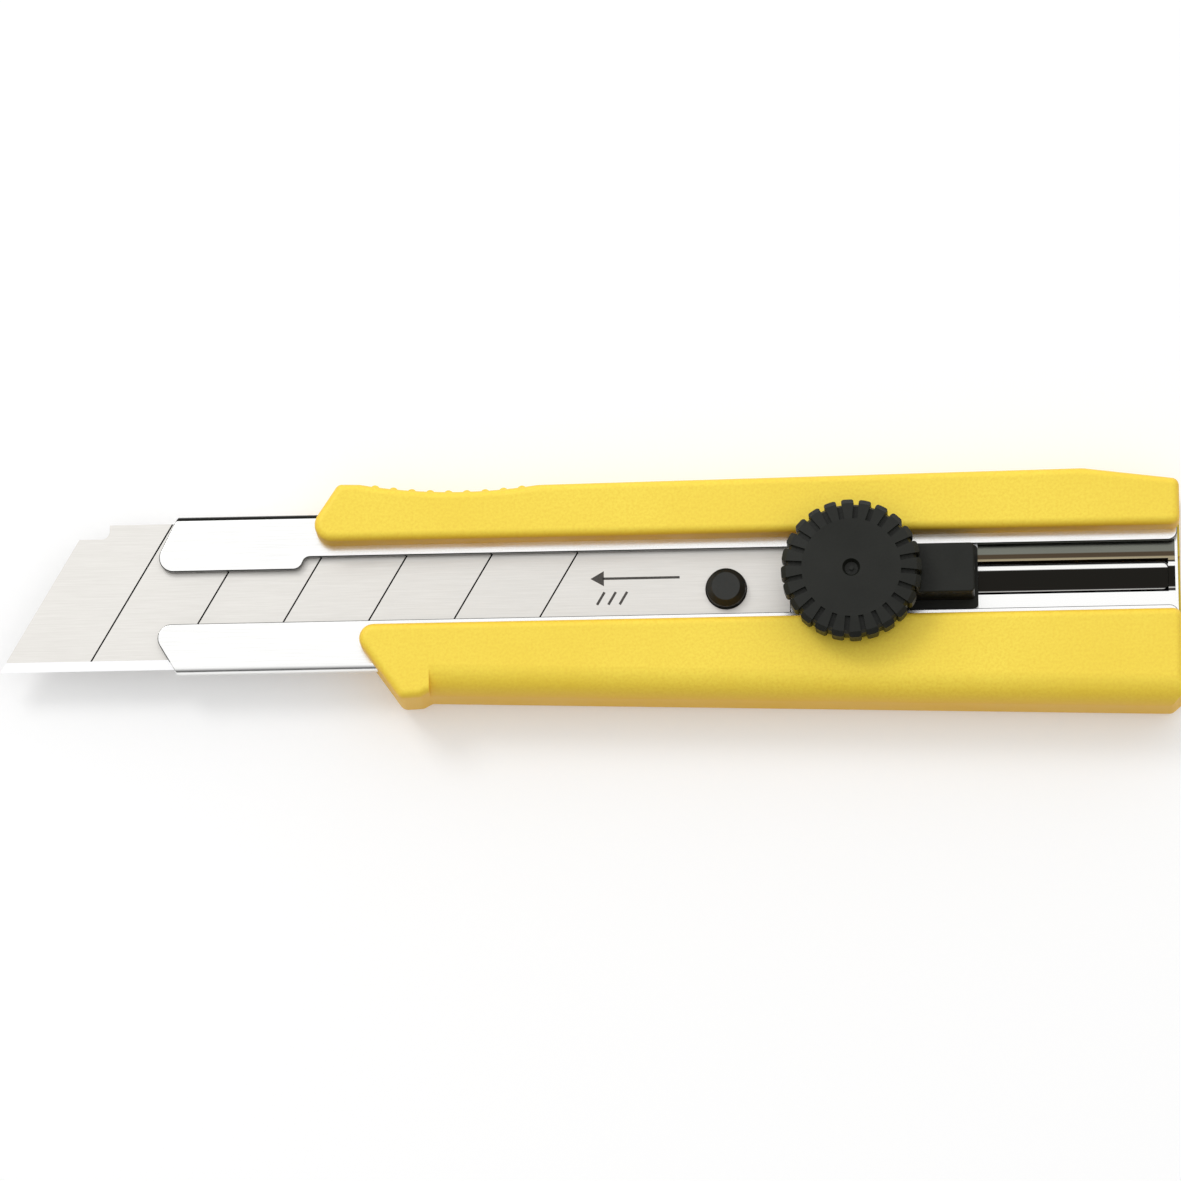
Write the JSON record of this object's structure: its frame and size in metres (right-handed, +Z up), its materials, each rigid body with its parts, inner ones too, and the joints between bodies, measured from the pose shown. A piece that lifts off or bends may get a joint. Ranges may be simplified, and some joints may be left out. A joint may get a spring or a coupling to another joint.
{
  "type": "snap-off knife",
  "caption": "Heavy-duty snap-off knife: a scored wide blade in a folded steel channel, moulded handle and a screw-lock wheel.",
  "frame": {"origin": "centre of the bounding box's bottom face: the knife lies on its back and the origin is on the table under its middle", "axes": "+X along the knife towards the rear end of the handle (the blade tip is at -X), +Y towards the blunt spine of the blade, +Z up, out of the open face with the lock wheel"},
  "size_m": [0.1986, 0.0402, 0.02],
  "materials": {
    "grip_plastic": "fine moulded texture",
    "channel_steel": "bright polished",
    "blade_steel": "satin ground",
    "plated_steel": "zinc plated",
    "black_plastic": "satin moulded",
    "insert_brass": "turned"
  },
  "bodies": {
    "handle": {"grip_body": "grip_plastic", "blade_channel": "channel_steel", "channel_rivets": "plated_steel"},
    "slider": {"slider_body": "black_plastic", "clamp_plate": "plated_steel", "tongue_plate": "plated_steel", "plate_rivets": "plated_steel", "blade_boss": "black_plastic", "blade": "blade_steel", "lock_stud": "plated_steel"},
    "pressure_plate": {"pressure_plate": "plated_steel"},
    "lock_wheel": {"lock_wheel": "black_plastic", "wheel_insert": "insert_brass"}
  },
  "joints": [
    {"name": "blade_slide", "type": "slide", "parent": "handle", "child": "slider", "axis": [-1, 0, 0], "range_m": [-0.028, 0.08]},
    {"name": "lock_lift", "type": "slide", "parent": "slider", "child": "pressure_plate", "axis": [0, 0, 1], "range_m": [0, 0.0008]},
    {"name": "lock_turn", "type": "hinge", "parent": "pressure_plate", "child": "lock_wheel", "pos_m": [0.04435, 0.00235, 0.0174], "axis": [0, 0, 1], "range_deg": [0, 360]}
  ],
  "couplings": [
    {"joint": "lock_lift", "follows": "lock_turn", "m_per_rad": 0.0001273}
  ]
}
